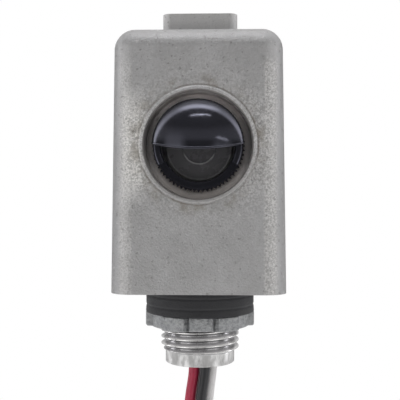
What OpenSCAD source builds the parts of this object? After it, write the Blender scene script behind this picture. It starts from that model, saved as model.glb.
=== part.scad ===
// Photocell switch: a die-cast box with a hooded eye, on a threaded conduit stem with three leads.
// Millimetres, +Z up, front towards -Y. The origin is on the stem's axis at the underside of the locknut.

/* [Housing] */
// Width across the open rim
housing_w = 45.4; // [44:0.2:52]
// Depth from front to back at the open rim
housing_d = 36; // [35:0.5:42]
// Height from the rim to the roof
housing_h = 68.2; // [66:0.2:78]
// Lean of the sides and the back towards the roof, in degrees
draft = 0.77; // [0:0.05:1.2]
// Radius of the upright edges and the roof's edges
corner_r = 5.5; // [4.8:0.1:6.5]
// Thickness of the cast walls
wall = 2.3; // [2:0.1:2.8]

/* [Roof boss] */
// Width of the boss on the roof
boss_w = 20.7; // [18:0.1:24]
// Depth of the boss, from its front face on the centre plane
boss_d = 10; // [9:0.1:11]
// Height of the boss above the roof
boss_h = 7.4; // [5:0.1:9]
// Radius of the boss's upright edges
boss_r = 2.3; // [1:0.1:3]
// Wall left round the pocket in the boss
boss_wall = 2.2; // [1.6:0.1:2.6]

/* [Eye] */
// Height of the eye's axis above the rim
eye_h = 38; // [36:0.2:41]
// Diameter of the eye's bore
eye_d = 27.4; // [26.8:0.1:29]
// Depth of the eye's ledge behind the front face
eye_depth = 7.2; // [6.4:0.1:8]
// Thickness of the eye's ledge
ledge_t = 2.2; // [1.8:0.1:2.8]
// Wall of the eye's barrel behind the front face
barrel_wall = 2; // [1.7:0.1:2.4]
// Width of the bead round the eye
bead_w = 1.3; // [0.8:0.1:1.8]
// Height of the bead above the front face
bead_h = 0.5; // [0.3:0.1:1]

/* [Selector hood] */
// Diameter over the teeth of the knurled rim
rim_d = 24.2; // [23.8:0.1:24.8]
// Thickness of the knurled rim
rim_t = 1.5; // [1.2:0.1:2]
// Number of teeth on the rim
tooth_count = 64; // [48:4:96]
// Height of the teeth
tooth_h = 0.7; // [0.3:0.05:0.8]
// Diameter of the visor and its barrel
visor_d = 23.2; // [22.6:0.1:23.4]
// Height of the barrel and its legs above the rim
barrel_l = 5.8; // [4:0.1:6.5]
// Rise of the visor's dome above the barrel
visor_rise = 5.2; // [4:0.1:7]
// Wall of the visor
visor_wall = 1.3; // [1:0.1:1.6]
// Droop of the visor's edge towards the front, in degrees
visor_tilt = 17; // [0:1:20]
// Height of the visor's edge above the axis at the rim
visor_edge = 1.9; // [0:0.1:2.5]
// Width of the barrel's legs
leg_w = 2.2; // [1.6:0.1:2.2]
// Reach of the barrel's legs below the axis, in degrees
leg_angle = 27; // [15:1:40]
// Diameter of the hub that turns in the ledge
hub_d = 21.6; // [21.4:0.1:22.2]
// Wall of the hub
hub_wall = 1.45; // [1.3:0.05:1.6]

/* [Lens and cell] */
// Gap between the lens's window and the hub
lens_gap = 0.45; // [0.3:0.05:0.8]
// Height of the window above the lens's flange
lens_step = 1; // [0.8:0.1:1.4]
// Diameter of the raised ring on the lens
lens_ring_d = 8.6; // [6:0.1:11]
// Thickness of the lens's window and flange
lens_t = 1.6; // [1.2:0.1:2]
// Thickness of the seal behind the ledge
lens_seal_t = 2; // [1.8:0.1:2.6]
// Width of that seal
lens_seal_w = 2.5; // [2:0.1:3]
// Diameter of the light cell
cell_d = 12.6; // [10:0.1:13]
// Thickness of the light cell
cell_t = 2.2; // [1.5:0.1:2.4]

/* [Base] */
// Depth of the base plate's face inside the rim
base_recess = 0.4; // [0:0.1:1]
// Thickness of the base plate
base_t = 2.5; // [2:0.1:3]
// Thickness of the base gasket
base_seal_t = 1; // [0.8:0.1:1.5]
// Width of the step inside the rim that the base gasket sits on
rim_step = 1; // [0.8:0.1:1.2]
// Diameter of the base screws
screw_d = 3; // [2.6:0.1:3.4]
// Distance of the base screws from the housing's faces
screw_inset = 5.1; // [5:0.1:5.6]

/* [Stem] */
// Diameter over the stem's thread
thread_d = 21.34; // [20.9:0.01:21.8]
// Length of free thread below the locknut
thread_l = 6.8; // [5:0.1:12]
// Diameter of the stem inside the nut, the gasket and the base plate
engaged_d = 20.8; // [20:0.1:20.9]
// Diameter of the plain collar at the stem's end
collar_d = 18.9; // [18:0.1:19.6]
// Length of the plain collar
collar_l = 3.3; // [2:0.1:5]
// Diameter of the bore for the leads
stem_bore_d = 15.8; // [15.6:0.1:16.4]
// Diameter of the flange that holds the stem in the base plate
flange_d = 24.2; // [23:0.1:24.6]
// Thickness of that flange
flange_t = 2; // [1.5:0.1:2.4]

/* [Gasket and nut] */
// Diameter of the stem gasket
gasket_d = 29.8; // [28:0.1:31]
// Thickness of the stem gasket
gasket_t = 6.9; // [5:0.1:8]
// Depth of the groove round the stem gasket
gasket_groove = 0.3; // [0.2:0.1:0.8]
// Diameter of the locknut
nut_d = 29.8; // [28:0.1:31]
// Thickness of the locknut
nut_t = 3.7; // [3:0.1:5]
// Number of lugs round the locknut
nut_lugs = 6; // [4:1:8]
// Depth of the notches between the lugs
nut_notch = 1.2; // [0.6:0.1:1.6]
// Width of each notch, in degrees
nut_notch_angle = 33; // [20:1:40]
// Turn of the nut from a notch at the front, in degrees
nut_turn = 3; // [0:1:60]

/* [Board and switch] */
// Thickness of the chassis board
board_t = 2; // [1.6:0.1:2.4]
// Length of the contact arm from its root to its contact
arm_l = 30; // [27:0.5:31]
// Width of the contact arm
arm_w = 7; // [5:0.2:8]
// Thickness of the contact arm
arm_t = 0.6; // [0.4:0.1:0.8]
// Gap between the arm and the chassis board
arm_gap = 2.6; // [2.4:0.1:3]
// Diameter of the heater's body
heater_d = 4; // [3:0.1:5]
// Length of the heater's body
heater_l = 12; // [8:0.5:14]

/* [Leads] */
// Diameter of each lead over its insulation
lead_d = 3; // [2.4:0.1:3]
// Diameter of the copper in each lead
copper_d = 1.3; // [0.8:0.1:1.6]
// Length of copper stripped bare at each lead's end
bare_l = 12; // [6:0.5:20]

/* [Hidden] */

$fn = 96;
// Clearance between pieces that are fitted together
fit = 0.1;
// Clearance between pieces that turn or slide
run = 0.3;
// Overlap that joins shapes of one piece
bond = 0.5;

// Heights of the stack from the locknut to the roof
rim_z = nut_t + gasket_t - base_recess;
base_z0 = rim_z + base_recess;
base_z1 = base_z0 + base_t;
shelf_z = base_z1 + base_seal_t;
flange_z1 = base_z1 + flange_t;
roof_z = rim_z + housing_h;
eye_z = rim_z + eye_h;
stem_end_z = -thread_l - collar_l;
face_y = -housing_d / 2;

// Depths along the eye's axis, counted outwards from the front face
ledge_front = -eye_depth;
ledge_back = ledge_front - ledge_t;
ledge_hole_d = hub_d + 2 * run;
rim_back = ledge_front + run;
rim_front = rim_back + rim_t;
clip_t = 0.5;
clip_lip = 1.6;
clip_groove_depth = 0.7;
clip_front = ledge_back - fit;
clip_d = hub_d + 2 * clip_lip;
leg_step = 0.1;
hub_bore_d = hub_d - 2 * hub_wall;
lens_d = hub_bore_d - 2 * lens_gap;
hub_tail = 0.7;
hub_end = clip_front - clip_t - fit - hub_tail;
flange_front = ledge_back - lens_seal_t;
flange_back = flange_front - lens_t;
lens_front = flange_front + lens_step;
lens_seal_bore_d = clip_d + 2 * run;
lens_flange_d = lens_seal_bore_d + 2 * lens_seal_w;

// Board that carries the switch, centred on the roof boss
boss_y = boss_d / 2;
board_y0 = boss_y - board_t / 2;
board_y1 = boss_y + board_t / 2;
board_front = face_y - board_y0;
board_top_z = roof_z - wall - corner_r - bond;
board_side_gap = 1;
board_half = inner_half(board_top_z - rim_z) - board_side_gap;
rib_t = 1.5;
rib_grip = 1.1;
rib_lift = 2;
rib_z0 = shelf_z + rib_lift;
screw_x = housing_w / 2 - screw_inset;
screw_y = housing_d / 2 - screw_inset;
column_bond = 0.2;
column_r = screw_inset - wall + column_bond;
column_l = 9;
screw_l = 8;
screw_head_d = 1.9 * screw_d;
screw_slot_w = 0.7;
screw_slot_depth = 1;

// Switch parts, placed from the eye's axis and the board's back
root_rise = 16.3;
root_z = eye_z + root_rise;
contact_z = root_z - arm_l;
arm_y0 = board_y1 + arm_gap;
arm_y1 = arm_y0 + arm_t;
leaf_t = 1.2;
rivet_head_t = 0.8;
bracket_reach = 3.8;
bracket_y = arm_y1 + bracket_reach;
bracket_w = 8;
bracket_head = 5.5;
bracket_rivet_x = 0.3 * bracket_w;
bracket_rivet_drop = 2.2;
bracket_rivet_z = root_z - bracket_rivet_drop;
stop_drop = 8;
screw_stop_z = root_z - stop_drop;
contact_d = 4.4;
contact_touch = 0.05;
fixed_head_t = 1;
rivet_d = 2;
pin_spacing = 5;
pin_d = 0.9;
holder_foot = 4.5;
holder_flange_r = cell_d / 2 + fit + holder_foot;
heater_wire_d = 0.7;
heater_bend = 1.6;
heater_edge = 5.7;
heater_x = board_half - heater_edge;
heater_drop = 4;
heater_z = eye_z - heater_drop;

// Lead places in the seal, and the terminals above them
lead_row = [-5, 0, 5];
crimp_gap = 0.5;
crimp_l = 2.9;
lead_top_z = flange_z1 + crimp_gap + crimp_l;
terminal_w = 3.4;
terminal_t = 0.8;
terminal_barrel_d = lead_d + 1;
terminal_rise = 6.5;
terminal_rivet_z = lead_top_z + terminal_rise;
seal_l = 6;

// Routes of the leads from the terminals through the stem to the cut insulation
red_route = [[-5, 0, 18.5], [-5, 0, 8], [-3.8, 0.1, 0], [-1.9, 0.3, -8], [-1.6, 0.3, -12],
    [-2.6, 0.3, -20], [-4.2, 0.2, -35], [-5.2, 0, -52], [-5.6, -0.2, -72], [-5.5, -0.2, -96],
    [-5.2, 0, -122], [-5, 0.2, -147]];
black_route = [[0, 0, 18.5], [0, 0, 8], [0.5, -0.4, 0], [1.2, -1.1, -8], [1.4, -1.2, -12],
    [0.4, -1.3, -20], [-1, -1.6, -35], [-1.6, -2, -52], [-1.6, -2.4, -72], [-1.2, -2.6, -96],
    [-0.8, -2.6, -122], [-0.6, -2.5, -148]];
white_route = [[5, 0, 18.5], [5, 0, 8], [4.4, 0.6, 0], [3.4, 1.4, -8], [3.2, 1.5, -12],
    [2.3, 1.6, -20], [1.2, 1.9, -35], [1, 2.3, -52], [1.5, 2.7, -72], [2.2, 3, -96],
    [2.8, 3, -122], [3, 2.8, -146]];
route_steps = 2;
lead_sides = 8;

// Half width inside the housing at a height above the rim
function inner_half(h) = housing_w / 2 - h * tan(draft) - wall;

// Outline of a rectangle with rounded corners
function rounded_rect(w, d, r, steps = 8) = [
    for (corner = [0:3])
        for (i = [0:steps])
            let (a = 90 * corner + 90 * i / steps)
            let (sx = corner == 0 || corner == 3 ? 1 : -1)
            let (sy = corner < 2 ? 1 : -1)
            [sx * (w / 2 - r) + r * cos(a), sy * (d / 2 - r) + r * sin(a)]
];

// Place of a housing corner's centre at a height above the rim
function corner_place(h, inset, side, back) = [
    side * (housing_w / 2 - h * tan(draft) - inset),
    back ? housing_d / 2 - h * tan(draft) - inset : inset - housing_d / 2,
    rim_z + h
];

// A point on the smooth curve between points b and c
function curve_point(a, b, c, d, t) = 0.5 * (2 * b + (c - a) * t
    + (2 * a - 5 * b + 4 * c - d) * t * t + (3 * b - a - 3 * c + d) * t * t * t);

// The points of a smooth curve through a route
function smooth_route(p, steps) = let (n = len(p) - 1) concat([
    for (i = [0:n - 1])
        for (s = [0:steps - 1])
            curve_point(p[max(i - 1, 0)], p[i], p[i + 1], p[min(i + 2, n)], s / steps)
], [p[n]]);

// Sets shapes on the eye's axis, with +Z outwards and zero at the front face
module at_eye() {
    translate([0, face_y, eye_z])
        rotate([90, 0, 0])
            children();
}

// Sets an upright profile drawn in X and Z between two depths
module upright(y0, y1) {
    translate([0, y1, 0])
        rotate([90, 0, 0])
            linear_extrude(y1 - y0)
                children();
}

// Sets a profile drawn in Y and Z across the width
module across(w) {
    rotate([90, 0, 90])
        translate([0, 0, -w / 2])
            linear_extrude(w)
                children();
}

// A round bar along Y
module bar_y(d, y0, y1, x, z) {
    translate([x, y1, z])
        rotate([90, 0, 0])
            cylinder(d = d, h = y1 - y0);
}

// A rivet along Y with a head at each end
module rivet(d, y0, y1, x, z) {
    bar_y(d, y0 - rivet_head_t, y1 + rivet_head_t, x, z);
    bar_y(1.6 * d, y0 - rivet_head_t, y0, x, z);
    bar_y(1.6 * d, y1, y1 + rivet_head_t, x, z);
}

module at_screws() {
    for (sx = [-1, 1])
        for (sy = [-1, 1])
            translate([sx * screw_x, sy * screw_y, 0])
                children();
}

// The drafted box of the housing, moved in by an inset and run down past the rim by a drop
module cup_form(inset, drop) {
    r = corner_r - inset;
    hull()
        for (side = [-1, 1])
            for (back = [false, true]) {
                translate(corner_place(-drop, corner_r, side, back))
                    cylinder(r = r, h = 0.01, $fn = 32);
                translate(corner_place(housing_h - corner_r, corner_r, side, back))
                    sphere(r = r, $fn = 32);
            }
}

module eye_bead() {
    at_eye()
        rotate_extrude()
            polygon(concat([[eye_d / 2, -bond]],
                [for (a = [180:-20:0]) [(eye_d + bead_w * (1 + cos(a))) / 2, bead_h * sin(a)]],
                [[eye_d / 2 + bead_w, -bond]]));
}

module guide_ribs() {
    x0 = board_half - rib_grip;
    x1 = inner_half(0) + bond;
    z1 = board_top_z;
    for (side = [-1, 1])
        for (y = [board_y0 - fit - rib_t, board_y1 + fit])
            translate([side > 0 ? x0 : -x1, y, rib_z0])
                cube([x1 - x0, rib_t, z1 - rib_z0]);
}

module roof_boss() {
    translate([0, boss_y, roof_z - wall / 2])
        linear_extrude(boss_h + wall / 2)
            polygon(rounded_rect(boss_w, boss_d, boss_r));
}

module boss_pocket() {
    translate([-boss_w / 2 + boss_wall, board_y0 - fit, roof_z - wall - bond])
        cube([boss_w - 2 * boss_wall, board_t + 2 * fit, wall + bond + boss_h - boss_wall]);
}

module housing() color("silver") difference() {
    union() {
        difference() {
            cup_form(0, 0);
            cup_form(wall, 1);
            translate([0, 0, rim_z - 1])
                linear_extrude(shelf_z - rim_z + 1)
                    polygon(rounded_rect(housing_w - 2 * (wall - rim_step),
                        housing_d - 2 * (wall - rim_step), corner_r - wall + rim_step));
        }
        at_eye()
            translate([0, 0, ledge_back])
                cylinder(d = eye_d + 2 * barrel_wall, h = -ledge_back - bond);
        eye_bead();
        guide_ribs();
        roof_boss();
        at_screws()
            translate([0, 0, shelf_z])
                cylinder(r = column_r, h = column_l);
    }
    at_eye() {
        translate([0, 0, ledge_front])
            cylinder(d = eye_d, h = eye_depth + 2 * bead_h);
        translate([0, 0, ledge_back - 1])
            cylinder(d = ledge_hole_d, h = ledge_t + 2);
    }
    boss_pocket();
    at_screws()
        translate([0, 0, shelf_z - 1])
            cylinder(d = screw_d + fit, h = screw_l + 1);
}

// Outline of the base plate and its gasket inside the rim's step
module base_outline() {
    inset = wall - rim_step + fit;
    polygon(rounded_rect(housing_w - 2 * inset, housing_d - 2 * inset, corner_r - inset));
}

module base_plate() color("darkgray") difference() {
    translate([0, 0, base_z0])
        linear_extrude(base_t)
            base_outline();
    translate([0, 0, base_z0 - 1])
        cylinder(d = engaged_d + 2 * fit, h = base_t + 2);
    at_screws() {
        translate([0, 0, base_z0 - 1])
            cylinder(d = screw_d + 4 * fit, h = base_t + 2);
        translate([0, 0, base_z0 - fit])
            cylinder(d1 = screw_head_d + 4 * fit, d2 = screw_d, h = (screw_head_d + 4 * fit - screw_d) / 2);
    }
}

module base_gasket() color("dimgray") {
    inset = 2 * screw_inset - corner_r;
    translate([0, 0, base_z1])
        linear_extrude(base_seal_t)
            difference() {
                base_outline();
                polygon(rounded_rect(housing_w - 2 * inset - 2, housing_d - 2 * inset - 2, corner_r));
                at_screws()
                    circle(d = screw_d + 4 * fit);
            }
}

module base_screws() color("gainsboro") at_screws() difference() {
    union() {
        translate([0, 0, base_z0])
            cylinder(d1 = screw_head_d, d2 = screw_d, h = (screw_head_d - screw_d) / 2);
        translate([0, 0, base_z0 + (screw_head_d - screw_d) / 2])
            cylinder(d = screw_d, h = base_t + base_seal_t - (screw_head_d - screw_d) / 2 + screw_l - 1);
    }
    for (turn = [0, 90])
        rotate([0, 0, turn])
            translate([-screw_d / 2, -screw_slot_w / 2, base_z0 - bond])
                cube([screw_d, screw_slot_w, bond + screw_slot_depth]);
}

module conduit_stem() color("lightgray") {
    chamfer = 0.4;
    rotate_extrude()
        polygon([
            [stem_bore_d / 2, stem_end_z],
            [collar_d / 2 - chamfer, stem_end_z],
            [collar_d / 2, stem_end_z + chamfer],
            [collar_d / 2, -thread_l],
            [thread_d / 2 - chamfer, -thread_l],
            [thread_d / 2, -thread_l + chamfer],
            [thread_d / 2, 0],
            [engaged_d / 2, 0],
            [engaged_d / 2, base_z1],
            [flange_d / 2, base_z1],
            [flange_d / 2, flange_z1],
            [stem_bore_d / 2, flange_z1]
        ]);
}

module stem_gasket() color("dimgray") {
    r = gasket_d / 2;
    edge = 0.4;
    z0 = nut_t;
    z1 = nut_t + gasket_t;
    groove_z = z0 + 0.36 * gasket_t;
    rotate_extrude()
        polygon([
            [engaged_d / 2 + fit, z0],
            [r - edge, z0],
            [r, z0 + edge],
            [r - edge / 2, groove_z - gasket_groove],
            [r - gasket_groove, groove_z],
            [r - edge / 2, groove_z + gasket_groove],
            [r - edge / 4, z1 - edge],
            [r - edge, z1],
            [engaged_d / 2 + fit, z1]
        ]);
}

module locknut() color("silver") rotate([0, 0, nut_turn]) difference() {
    edge = 0.4;
    lug = 360 / nut_lugs;
    rotate_extrude()
        polygon([
            [engaged_d / 2 + fit + edge, 0],
            [nut_d / 2 - edge, 0],
            [nut_d / 2, edge],
            [nut_d / 2, nut_t],
            [engaged_d / 2 + fit, nut_t],
            [engaged_d / 2 + fit, edge]
        ]);
    for (i = [0:nut_lugs - 1])
        rotate([0, 0, -90 + i * lug - nut_notch_angle / 2])
            translate([0, 0, -1])
                rotate_extrude(angle = nut_notch_angle)
                    translate([nut_d / 2 - nut_notch, 0])
                        square([nut_notch + 1, nut_t + 2]);
}

module lead_seal() color("dimgray") difference() {
    translate([0, 0, flange_z1 - seal_l])
        cylinder(d = stem_bore_d - fit, h = seal_l);
    for (x = lead_row)
        translate([x, 0, flange_z1 - seal_l - 1])
            cylinder(d = lead_d + 2 * fit, h = seal_l + 2);
}

// Toothed outline of the knurled rim
module toothed_outline() {
    step = 360 / tooth_count;
    r0 = rim_d / 2 - tooth_h;
    r1 = rim_d / 2;
    polygon([
        for (i = [0:tooth_count - 1])
            for (corner = [[0, r0], [0.2, r0], [0.5, r1], [0.7, r1]])
                corner[1] * [cos(step * (i + corner[0])), sin(step * (i + corner[0]))]
    ]);
}

// Half outline of a spherical dome of a base radius and a rise, from its edge to its top
function dome_line(r, rise, steps = 12) =
    let (ball_r = (r * r + rise * rise) / (2 * rise), edge_angle = asin(r / ball_r)) [
    for (i = [0:steps])
        let (a = edge_angle * (1 - i / steps))
        [ball_r * sin(a), barrel_l + rise - ball_r * (1 - cos(a))]
];

// Half of a domed barrel over the upper side of the eye, with a drooping lower edge
module visor() {
    edge = 0.3;
    r0 = visor_d / 2 - visor_wall;
    r1 = visor_d / 2;
    outer = dome_line(r1 - edge, visor_rise);
    inner = dome_line(r0, visor_rise - visor_wall);
    intersection() {
        rotate_extrude()
            polygon(concat([[r1, -bond], [r1, barrel_l - edge]], outer,
                [for (i = [len(inner) - 1:-1:0]) inner[i]], [[r0, -bond]]));
        translate([0, visor_edge, 0])
            rotate([visor_tilt, 0, 0])
                translate([-visor_d, 0, -visor_d])
                    cube([2 * visor_d, visor_d, 3 * visor_d]);
    }
}

// The barrel's wall, which runs on below each end of the visor as a leg
module barrel() {
    edge = 0.3;
    r0 = visor_d / 2 - leg_w;
    r1 = visor_d / 2 - leg_step;
    top = barrel_l - leg_step;
    rotate([0, 0, -leg_angle])
        rotate_extrude(angle = 180 + 2 * leg_angle)
            polygon([
                [r0, -bond],
                [r1, -bond],
                [r1, top - edge],
                [r1 - edge, top],
                [r0 + edge, top],
                [r0, top - edge]
            ]);
}

module selector_hood() color("black") at_eye() difference() {
    union() {
        translate([0, 0, rim_back])
            linear_extrude(rim_t)
                toothed_outline();
        translate([0, 0, rim_front]) {
            visor();
            barrel();
        }
        translate([0, 0, hub_end])
            cylinder(d = hub_d, h = rim_back + bond - hub_end);
    }
    translate([0, 0, hub_end - bond])
        cylinder(d = hub_bore_d, h = rim_front - hub_end + 2 * bond);
    translate([0, 0, clip_front - clip_t - fit / 2])
        difference() {
            cylinder(d = hub_d + 2, h = clip_t + fit);
            translate([0, 0, -1])
                cylinder(d = hub_d - 2 * clip_groove_depth, h = clip_t + 3);
        }
}

module selector_clip() color("gray") at_eye() {
    gap_angle = 60;
    translate([0, 0, clip_front - clip_t])
        rotate([0, 0, -90 + gap_angle / 2])
            rotate_extrude(angle = 360 - gap_angle)
                translate([hub_d / 2 - clip_groove_depth + fit, 0])
                    square([clip_d / 2 - hub_d / 2 + clip_groove_depth - fit, clip_t]);
}

module lens() color("darkslategray") at_eye() {
    edge = 0.3;
    ring_w = 0.8;
    ring_h = 0.35;
    skirt_t = 1.2;
    bore_d = lens_d - 2 * skirt_t;
    rotate_extrude()
        polygon([
            [0, lens_front - lens_t],
            [bore_d / 2, lens_front - lens_t],
            [bore_d / 2, flange_back],
            [lens_flange_d / 2, flange_back],
            [lens_flange_d / 2, flange_front],
            [lens_d / 2, flange_front],
            [lens_d / 2, lens_front - edge],
            [lens_d / 2 - edge, lens_front],
            [lens_ring_d / 2 + ring_w / 2, lens_front],
            [lens_ring_d / 2 + ring_w / 4, lens_front + ring_h],
            [lens_ring_d / 2 - ring_w / 4, lens_front + ring_h],
            [lens_ring_d / 2 - ring_w / 2, lens_front],
            [0, lens_front]
        ]);
}

module lens_seal() color("dimgray") at_eye() {
    translate([0, 0, flange_front])
        difference() {
            cylinder(d = lens_flange_d, h = lens_seal_t);
            translate([0, 0, -1])
                cylinder(d = lens_seal_bore_d, h = lens_seal_t + 2);
        }
}

module at_pins() {
    for (x = [-pin_spacing / 2, pin_spacing / 2])
        translate([x, 0, 0])
            children();
}

module cell_holder() color("saddlebrown") at_eye() difference() {
    cell_r = cell_d / 2 + fit;
    foot_w = 2.5;
    foot_t = 2;
    front_inset = 2;
    neck_r = holder_flange_r - foot_w;
    front_r = lens_flange_d / 2 - front_inset;
    cell_back = flange_back - fit - cell_t;
    rotate_extrude()
        polygon([
            [0, board_front],
            [holder_flange_r, board_front],
            [holder_flange_r, board_front + foot_t],
            [neck_r, board_front + foot_t],
            [neck_r, cell_back - 1],
            [front_r, cell_back + 1],
            [front_r, flange_back],
            [cell_r, flange_back],
            [cell_r, cell_back],
            [0, cell_back]
        ]);
    at_pins()
        translate([0, 0, board_front - 1])
            cylinder(d = pin_d + 2 * fit, h = cell_back - board_front + 2);
}

module photocell() color("tan") at_eye() {
    translate([0, 0, flange_back - fit - cell_t])
        cylinder(d = cell_d, h = cell_t);
}

module cell_pins() color("gainsboro") at_eye() {
    pin_tail = 1.2;
    back = board_front - board_t - pin_tail;
    at_pins()
        translate([0, 0, back])
            cylinder(d = pin_d, h = flange_back - fit - cell_t - back);
}

module chassis_board() color("sienna") upright(board_y0, board_y1) difference() {
    flange_gap = 0.9;
    flange_clear = 1.1;
    column_gap = 1.6;
    foot_x0 = flange_d / 2 + flange_gap;
    foot_x1 = housing_w / 2 - 2 * screw_inset + corner_r - column_gap;
    foot_z = flange_z1 + flange_clear;
    tongue_x = boss_w / 2 - boss_wall - run;
    tongue_z = roof_z + boss_h - boss_wall - run;
    half = [
        [foot_x0, foot_z],
        [foot_x0, base_z1],
        [foot_x1, base_z1],
        [foot_x1, shelf_z + 1],
        [board_half, shelf_z + 1],
        [board_half, board_top_z],
        [tongue_x, board_top_z],
        [tongue_x, tongue_z]
    ];
    polygon(concat(half, [for (i = [len(half) - 1:-1:0]) [-half[i][0], half[i][1]]]));
    for (x = lead_row)
        translate([x, terminal_rivet_z])
            circle(d = rivet_d + fit);
    for (side = [-1, 1]) {
        translate([side * bracket_rivet_x, bracket_rivet_z])
            circle(d = rivet_d + fit);
        translate([side * pin_spacing / 2, eye_z])
            circle(d = pin_d + 2 * fit);
        translate([heater_x, heater_z + side * (heater_l / 2 + heater_bend)])
            circle(d = heater_wire_d + 2 * fit);
    }
    translate([0, contact_z])
        circle(d = rivet_d + fit);
}

module board_rivets() color("goldenrod") {
    for (x = lead_row)
        rivet(rivet_d, board_y0 - terminal_t, board_y1, x, terminal_rivet_z);
    for (side = [-1, 1])
        rivet(rivet_d, board_y0, board_y1 + leaf_t, side * bracket_rivet_x, bracket_rivet_z);
}

module arm_bracket() color("goldenrod") difference() {
    slot_gap = 0.2;
    slot_depth = 2.2;
    leaf_l = 4;
    leaf_z = root_z - leaf_l;
    top_z = root_z + bracket_head;
    leg_end = 2.5;
    leg_z = screw_stop_z - leg_end;
    leg_t = 1.4;
    across(bracket_w)
        polygon([
            [board_y1, leaf_z],
            [board_y1 + leaf_t, leaf_z],
            [board_y1 + leaf_t, root_z],
            [arm_y0 - slot_gap, root_z],
            [arm_y0 - slot_gap, root_z + slot_depth],
            [arm_y1 + slot_gap, root_z + slot_depth],
            [arm_y1 + slot_gap, root_z],
            [bracket_y - leg_t, root_z],
            [bracket_y - leg_t, leg_z],
            [bracket_y, leg_z],
            [bracket_y, top_z],
            [board_y1, top_z]
        ]);
    for (side = [-1, 1])
        bar_y(rivet_d + fit, board_y1 - 1, board_y1 + leaf_t + 0.1, side * bracket_rivet_x, bracket_rivet_z);
    bar_y(rivet_d + fit, bracket_y - leg_t - 1, bracket_y + 1, 0, screw_stop_z);
}

module contact_arm() color("silver") upright(arm_y0, arm_y1) difference() {
    tip_r = arm_w / 2 - 0.8;
    root_l = 2;
    polygon(concat(
        [[-arm_w / 2, root_z + root_l], [-arm_w / 2, root_z - arm_l / 2]],
        [for (a = [180:15:360]) [tip_r * cos(a), contact_z + tip_r * sin(a)]],
        [[arm_w / 2, root_z - arm_l / 2], [arm_w / 2, root_z + root_l]]
    ));
    translate([0, contact_z])
        circle(d = rivet_d + fit);
}

module moving_contact() color("gainsboro") {
    bar_y(contact_d, board_y1 + fixed_head_t + contact_touch, arm_y0, 0, contact_z);
    bar_y(rivet_d, arm_y0 - bond, arm_y1 + rivet_head_t, 0, contact_z);
    bar_y(1.6 * rivet_d, arm_y1, arm_y1 + rivet_head_t, 0, contact_z);
}

module fixed_contact() color("gainsboro") {
    bar_y(contact_d, board_y1, board_y1 + fixed_head_t, 0, contact_z);
    bar_y(rivet_d, board_y0 - rivet_head_t, board_y1 + bond, 0, contact_z);
    bar_y(1.6 * rivet_d, board_y0 - rivet_head_t, board_y0, 0, contact_z);
}

module calibration_screw() color("goldenrod") difference() {
    head_t = 1.2;
    tip_gap = 1;
    slot = 0.6;
    union() {
        bar_y(rivet_d, arm_y1 + tip_gap, bracket_y + bond, 0, screw_stop_z);
        bar_y(2 * rivet_d, bracket_y, bracket_y + head_t, 0, screw_stop_z);
    }
    translate([-rivet_d, bracket_y + head_t - slot, screw_stop_z - slot / 2])
        cube([2 * rivet_d, 2 * slot, slot]);
}

module heater_resistor() color("peru") {
    y = board_y1 + heater_d / 2 + fit;
    z0 = heater_z - heater_l / 2;
    wire_z = heater_l / 2 + heater_bend;
    translate([heater_x, y, z0])
        cylinder(d = heater_d, h = heater_l);
    translate([heater_x, y, heater_z - wire_z])
        cylinder(d = heater_wire_d, h = 2 * wire_z);
    for (side = [-1, 1])
        bar_y(heater_wire_d, board_y0 - 1, y, heater_x, heater_z + side * wire_z);
}

// A crimped lead end: a barrel on the lead, a tab back to the board and a riveted strip
module terminal(x) color("goldenrod") difference() {
    r = terminal_barrel_d / 2;
    strip_end = 3;
    union() {
        translate([x, 0, flange_z1 + crimp_gap])
            cylinder(r = r, h = crimp_l);
        translate([x - terminal_w / 2, -r, lead_top_z + fit])
            cube([terminal_w, board_y0 + r, terminal_t]);
        translate([x, 0, lead_top_z - 0.1])
            cylinder(r = r, h = terminal_t);
        translate([x - terminal_w / 2, board_y0 - terminal_t, lead_top_z + fit])
            cube([terminal_w, terminal_t, terminal_rivet_z - lead_top_z + strip_end]);
    }
    translate([x, 0, flange_z1])
        cylinder(d = lead_d + fit, h = lead_top_z + fit - flange_z1);
    bar_y(rivet_d + fit, board_y0 - terminal_t - 1, board_y0 + 1, x, terminal_rivet_z);
}

module load_terminal() terminal(lead_row[0]);
module line_terminal() terminal(lead_row[1]);
module neutral_terminal() terminal(lead_row[2]);

// A round lead swept down its route with level rings
module lead(route) {
    path = smooth_route(route, route_steps);
    n = len(path);
    sides = lead_sides;
    ring_points = [
        for (p = path)
            for (i = [0:sides - 1])
                p + lead_d / 2 * [cos(360 * i / sides), sin(360 * i / sides), 0]
    ];
    side_faces = [
        for (k = [0:n - 2])
            for (i = [0:sides - 1])
                let (j = (i + 1) % sides)
                [k * sides + i, k * sides + j, (k + 1) * sides + j, (k + 1) * sides + i]
    ];
    top = [for (i = [sides - 1:-1:0]) i];
    bottom = [for (i = [0:sides - 1]) (n - 1) * sides + i];
    polyhedron(ring_points, concat([top], side_faces, [bottom]));
}

module red_lead() color("firebrick") lead(red_route);
module black_lead() color("black") lead(black_route);
module white_lead() color("white") lead(white_route);

module bare_conductors() color("peru") {
    for (route = [red_route, black_route, white_route])
        translate(route[len(route) - 1] - [0, 0, bare_l])
            cylinder(d = copper_d, h = bare_l);
}

housing();
base_plate();
base_gasket();
base_screws();
conduit_stem();
stem_gasket();
locknut();
lead_seal();
selector_hood();
selector_clip();
lens();
lens_seal();
cell_holder();
photocell();
cell_pins();
chassis_board();
board_rivets();
arm_bracket();
contact_arm();
moving_contact();
fixed_contact();
calibration_screw();
heater_resistor();
line_terminal();
load_terminal();
neutral_terminal();
red_lead();
black_lead();
white_lead();
bare_conductors();
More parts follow.
